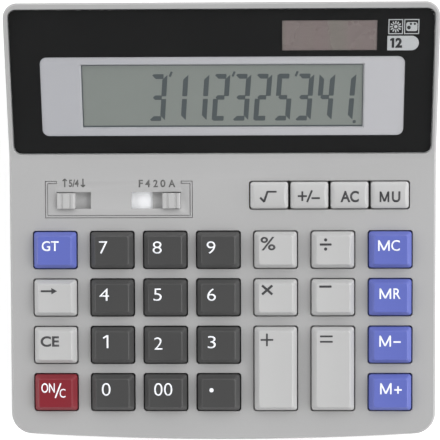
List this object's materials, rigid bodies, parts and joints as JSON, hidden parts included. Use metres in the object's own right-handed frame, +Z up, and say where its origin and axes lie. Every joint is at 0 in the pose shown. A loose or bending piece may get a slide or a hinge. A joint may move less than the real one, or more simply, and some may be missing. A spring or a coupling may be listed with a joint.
{
  "type": "desktop calculator",
  "caption": "Wedge shaped desktop calculator with a black display panel, solar cell, large dished keys, two slide switches and a sliding battery door.",
  "frame": {"origin": "middle of the part's footprint, on the surface it stands on", "axes": "+X to the user's right, +Y from the front edge to the display's back edge, +Z up"},
  "size_m": [0.19, 0.192, 0.0444],
  "materials": {
    "case_plastic": "fine satin texture",
    "clear_panel": "clear acrylic",
    "black_film": "printed black behind the clear panel",
    "silver_frame": "satin silver",
    "display_grey": "grey green",
    "dark_plastic": "moulded",
    "solar_film": "dark glass",
    "key_dark": "satin",
    "key_light": "satin",
    "key_blue": "satin",
    "key_red": "satin",
    "switch_grey": "satin",
    "guide_white": "smooth",
    "circuit_board": "pressed paper laminate",
    "dome_rubber": "soft",
    "chip_black": "moulded resin",
    "capacitor_brown": "ceramic",
    "ribbon_film": "flexible film",
    "lead_plastic": "flexible insulation",
    "contact_metal": "plated",
    "cell_wrap": "plain wrapped cell",
    "foot_rubber": "matte",
    "screw_metal": "zinc plated"
  },
  "bodies": {
    "case": {"battery_cell": "cell_wrap", "battery_leads": "lead_plastic", "bottom_case": "case_plastic", "capacitors": "capacitor_brown", "case_screws": "screw_metal", "display_frame": "silver_frame", "display_glass": "display_grey", "display_holder": "dark_plastic", "display_lens": "clear_panel", "display_ribbon": "ribbon_film", "dome_sheet": "dome_rubber", "feet": "foot_rubber", "flat_contact": "contact_metal", "lens_sheet": "black_film", "main_board": "circuit_board", "processor": "chip_black", "solar_cable": "ribbon_film", "solar_cell": "solar_film", "sprung_contact": "contact_metal", "switch_guide": "guide_white", "top_case": "case_plastic"},
    "key_0": {"key_0": "key_dark"},
    "key_00": {"key_00": "key_dark"},
    "key_1": {"key_1": "key_dark"},
    "key_2": {"key_2": "key_dark"},
    "key_3": {"key_3": "key_dark"},
    "key_4": {"key_4": "key_dark"},
    "key_5": {"key_5": "key_dark"},
    "key_6": {"key_6": "key_dark"},
    "key_7": {"key_7": "key_dark"},
    "key_8": {"key_8": "key_dark"},
    "key_9": {"key_9": "key_dark"},
    "key_ac": {"key_ac": "key_light"},
    "key_ce": {"key_ce": "key_light"},
    "key_divide": {"key_divide": "key_light"},
    "key_equals": {"key_equals": "key_light"},
    "key_gt": {"key_gt": "key_blue"},
    "key_m_minus": {"key_m_minus": "key_blue"},
    "key_m_plus": {"key_m_plus": "key_blue"},
    "key_mc": {"key_mc": "key_blue"},
    "key_minus": {"key_minus": "key_light"},
    "key_mr": {"key_mr": "key_blue"},
    "key_mu": {"key_mu": "key_light"},
    "key_multiply": {"key_multiply": "key_light"},
    "key_on_c": {"key_on_c": "key_red"},
    "key_percent": {"key_percent": "key_light"},
    "key_plus": {"key_plus": "key_light"},
    "key_point": {"key_point": "key_dark"},
    "key_right_shift": {"key_right_shift": "key_light"},
    "key_sign": {"key_sign": "key_light"},
    "key_square_root": {"key_square_root": "key_light"},
    "rounding_slider": {"rounding_switch": "switch_grey", "rounding_wiper": "contact_metal"},
    "decimal_slider": {"decimal_switch": "switch_grey", "decimal_wiper": "contact_metal"},
    "door": {"battery_door": "case_plastic"}
  },
  "joints": [
    {"name": "key_0_press", "type": "slide", "parent": "case", "child": "key_0", "axis": [0, -0.0698, 0.9976], "range_m": [-0.002, 0], "stiffness_N_per_m": 200, "springref_m": 0.001, "deforming": ["dome_sheet"]},
    {"name": "key_00_press", "type": "slide", "parent": "case", "child": "key_00", "axis": [0, -0.0698, 0.9976], "range_m": [-0.002, 0], "stiffness_N_per_m": 200, "springref_m": 0.001, "deforming": ["dome_sheet"]},
    {"name": "key_1_press", "type": "slide", "parent": "case", "child": "key_1", "axis": [0, -0.0698, 0.9976], "range_m": [-0.002, 0], "stiffness_N_per_m": 200, "springref_m": 0.001, "deforming": ["dome_sheet"]},
    {"name": "key_2_press", "type": "slide", "parent": "case", "child": "key_2", "axis": [0, -0.0698, 0.9976], "range_m": [-0.002, 0], "stiffness_N_per_m": 200, "springref_m": 0.001, "deforming": ["dome_sheet"]},
    {"name": "key_3_press", "type": "slide", "parent": "case", "child": "key_3", "axis": [0, -0.0698, 0.9976], "range_m": [-0.002, 0], "stiffness_N_per_m": 200, "springref_m": 0.001, "deforming": ["dome_sheet"]},
    {"name": "key_4_press", "type": "slide", "parent": "case", "child": "key_4", "axis": [0, -0.0698, 0.9976], "range_m": [-0.002, 0], "stiffness_N_per_m": 200, "springref_m": 0.001, "deforming": ["dome_sheet"]},
    {"name": "key_5_press", "type": "slide", "parent": "case", "child": "key_5", "axis": [0, -0.0698, 0.9976], "range_m": [-0.002, 0], "stiffness_N_per_m": 200, "springref_m": 0.001, "deforming": ["dome_sheet"]},
    {"name": "key_6_press", "type": "slide", "parent": "case", "child": "key_6", "axis": [0, -0.0698, 0.9976], "range_m": [-0.002, 0], "stiffness_N_per_m": 200, "springref_m": 0.001, "deforming": ["dome_sheet"]},
    {"name": "key_7_press", "type": "slide", "parent": "case", "child": "key_7", "axis": [0, -0.0698, 0.9976], "range_m": [-0.002, 0], "stiffness_N_per_m": 200, "springref_m": 0.001, "deforming": ["dome_sheet"]},
    {"name": "key_8_press", "type": "slide", "parent": "case", "child": "key_8", "axis": [0, -0.0698, 0.9976], "range_m": [-0.002, 0], "stiffness_N_per_m": 200, "springref_m": 0.001, "deforming": ["dome_sheet"]},
    {"name": "key_9_press", "type": "slide", "parent": "case", "child": "key_9", "axis": [0, -0.0698, 0.9976], "range_m": [-0.002, 0], "stiffness_N_per_m": 200, "springref_m": 0.001, "deforming": ["dome_sheet"]},
    {"name": "key_ac_press", "type": "slide", "parent": "case", "child": "key_ac", "axis": [0, -0.0698, 0.9976], "range_m": [-0.002, 0], "stiffness_N_per_m": 200, "springref_m": 0.001, "deforming": ["dome_sheet"]},
    {"name": "key_ce_press", "type": "slide", "parent": "case", "child": "key_ce", "axis": [0, -0.0698, 0.9976], "range_m": [-0.002, 0], "stiffness_N_per_m": 200, "springref_m": 0.001, "deforming": ["dome_sheet"]},
    {"name": "key_divide_press", "type": "slide", "parent": "case", "child": "key_divide", "axis": [0, -0.0698, 0.9976], "range_m": [-0.002, 0], "stiffness_N_per_m": 200, "springref_m": 0.001, "deforming": ["dome_sheet"]},
    {"name": "key_equals_press", "type": "slide", "parent": "case", "child": "key_equals", "axis": [0, -0.0698, 0.9976], "range_m": [-0.002, 0], "stiffness_N_per_m": 200, "springref_m": 0.001, "deforming": ["dome_sheet"]},
    {"name": "key_gt_press", "type": "slide", "parent": "case", "child": "key_gt", "axis": [0, -0.0698, 0.9976], "range_m": [-0.002, 0], "stiffness_N_per_m": 200, "springref_m": 0.001, "deforming": ["dome_sheet"]},
    {"name": "key_m_minus_press", "type": "slide", "parent": "case", "child": "key_m_minus", "axis": [0, -0.0698, 0.9976], "range_m": [-0.002, 0], "stiffness_N_per_m": 200, "springref_m": 0.001, "deforming": ["dome_sheet"]},
    {"name": "key_m_plus_press", "type": "slide", "parent": "case", "child": "key_m_plus", "axis": [0, -0.0698, 0.9976], "range_m": [-0.002, 0], "stiffness_N_per_m": 200, "springref_m": 0.001, "deforming": ["dome_sheet"]},
    {"name": "key_mc_press", "type": "slide", "parent": "case", "child": "key_mc", "axis": [0, -0.0698, 0.9976], "range_m": [-0.002, 0], "stiffness_N_per_m": 200, "springref_m": 0.001, "deforming": ["dome_sheet"]},
    {"name": "key_minus_press", "type": "slide", "parent": "case", "child": "key_minus", "axis": [0, -0.0698, 0.9976], "range_m": [-0.002, 0], "stiffness_N_per_m": 200, "springref_m": 0.001, "deforming": ["dome_sheet"]},
    {"name": "key_mr_press", "type": "slide", "parent": "case", "child": "key_mr", "axis": [0, -0.0698, 0.9976], "range_m": [-0.002, 0], "stiffness_N_per_m": 200, "springref_m": 0.001, "deforming": ["dome_sheet"]},
    {"name": "key_mu_press", "type": "slide", "parent": "case", "child": "key_mu", "axis": [0, -0.0698, 0.9976], "range_m": [-0.002, 0], "stiffness_N_per_m": 200, "springref_m": 0.001, "deforming": ["dome_sheet"]},
    {"name": "key_multiply_press", "type": "slide", "parent": "case", "child": "key_multiply", "axis": [0, -0.0698, 0.9976], "range_m": [-0.002, 0], "stiffness_N_per_m": 200, "springref_m": 0.001, "deforming": ["dome_sheet"]},
    {"name": "key_on_c_press", "type": "slide", "parent": "case", "child": "key_on_c", "axis": [0, -0.0698, 0.9976], "range_m": [-0.002, 0], "stiffness_N_per_m": 200, "springref_m": 0.001, "deforming": ["dome_sheet"]},
    {"name": "key_percent_press", "type": "slide", "parent": "case", "child": "key_percent", "axis": [0, -0.0698, 0.9976], "range_m": [-0.002, 0], "stiffness_N_per_m": 200, "springref_m": 0.001, "deforming": ["dome_sheet"]},
    {"name": "key_plus_press", "type": "slide", "parent": "case", "child": "key_plus", "axis": [0, -0.0698, 0.9976], "range_m": [-0.002, 0], "stiffness_N_per_m": 200, "springref_m": 0.001, "deforming": ["dome_sheet"]},
    {"name": "key_point_press", "type": "slide", "parent": "case", "child": "key_point", "axis": [0, -0.0698, 0.9976], "range_m": [-0.002, 0], "stiffness_N_per_m": 200, "springref_m": 0.001, "deforming": ["dome_sheet"]},
    {"name": "key_right_shift_press", "type": "slide", "parent": "case", "child": "key_right_shift", "axis": [0, -0.0698, 0.9976], "range_m": [-0.002, 0], "stiffness_N_per_m": 200, "springref_m": 0.001, "deforming": ["dome_sheet"]},
    {"name": "key_sign_press", "type": "slide", "parent": "case", "child": "key_sign", "axis": [0, -0.0698, 0.9976], "range_m": [-0.002, 0], "stiffness_N_per_m": 200, "springref_m": 0.001, "deforming": ["dome_sheet"]},
    {"name": "key_square_root_press", "type": "slide", "parent": "case", "child": "key_square_root", "axis": [0, -0.0698, 0.9976], "range_m": [-0.002, 0], "stiffness_N_per_m": 200, "springref_m": 0.001, "deforming": ["dome_sheet"]},
    {"name": "rounding_slide", "type": "slide", "parent": "case", "child": "rounding_slider", "axis": [1, 0, 0], "range_m": [0, 0.0069]},
    {"name": "decimal_slide", "type": "slide", "parent": "case", "child": "decimal_slider", "axis": [1, 0, 0], "range_m": [-0.0138, 0]},
    {"name": "door_slide", "type": "slide", "parent": "case", "child": "door", "axis": [0, 1, 0], "range_m": [0, 0.024]}
  ]
}
